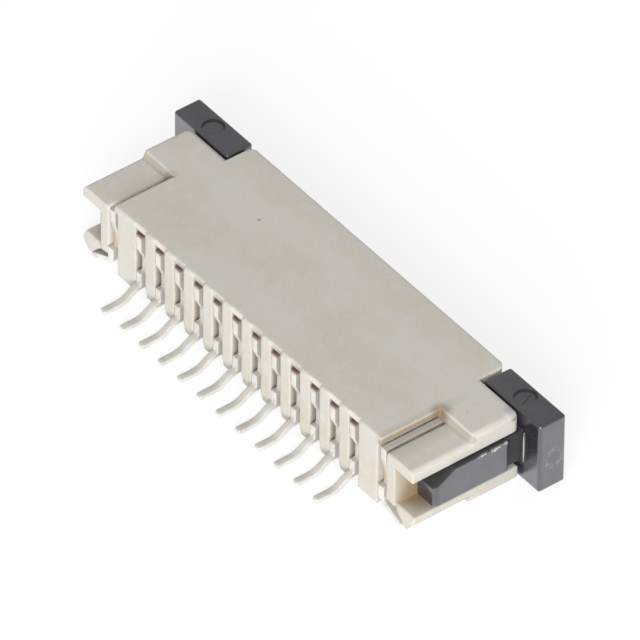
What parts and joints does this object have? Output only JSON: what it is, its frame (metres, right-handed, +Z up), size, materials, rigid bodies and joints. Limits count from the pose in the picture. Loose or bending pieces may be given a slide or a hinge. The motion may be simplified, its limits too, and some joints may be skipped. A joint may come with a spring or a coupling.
{
  "type": "fpc connector",
  "caption": "Right-angle board connector for a flat flexible cable: low ecru housing, tin-plated solder legs behind, hold-downs at the ends and a dark slider that locks the cable.",
  "frame": {"origin": "on the board surface, under the middle of the outline seen from above with the slider pushed in", "axes": "+X along the row of contacts, +Y towards the side where the cable goes in and the slider pulls out, +Z up from the board"},
  "size_m": [0.0188, 0.0068, 0.0028],
  "materials": {
    "housing_plastic": "as moulded, warm ecru liquid-crystal polymer",
    "slider_plastic": "as moulded, charcoal liquid-crystal polymer",
    "tinned_bronze": "matte tin plating over phosphor bronze"
  },
  "bodies": {
    "housing": {"housing": "housing_plastic", "contact_01": "tinned_bronze", "contact_02": "tinned_bronze", "contact_03": "tinned_bronze", "contact_04": "tinned_bronze", "contact_05": "tinned_bronze", "contact_06": "tinned_bronze", "contact_07": "tinned_bronze", "contact_08": "tinned_bronze", "contact_09": "tinned_bronze", "contact_10": "tinned_bronze", "contact_11": "tinned_bronze", "contact_12": "tinned_bronze", "left_hold_down": "tinned_bronze", "right_hold_down": "tinned_bronze"},
    "slider": {"slider": "slider_plastic"}
  },
  "joints": [
    {"name": "lock_slide", "type": "slide", "parent": "housing", "child": "slider", "axis": [0, 1, 0], "range_m": [0, 0.0011]}
  ]
}
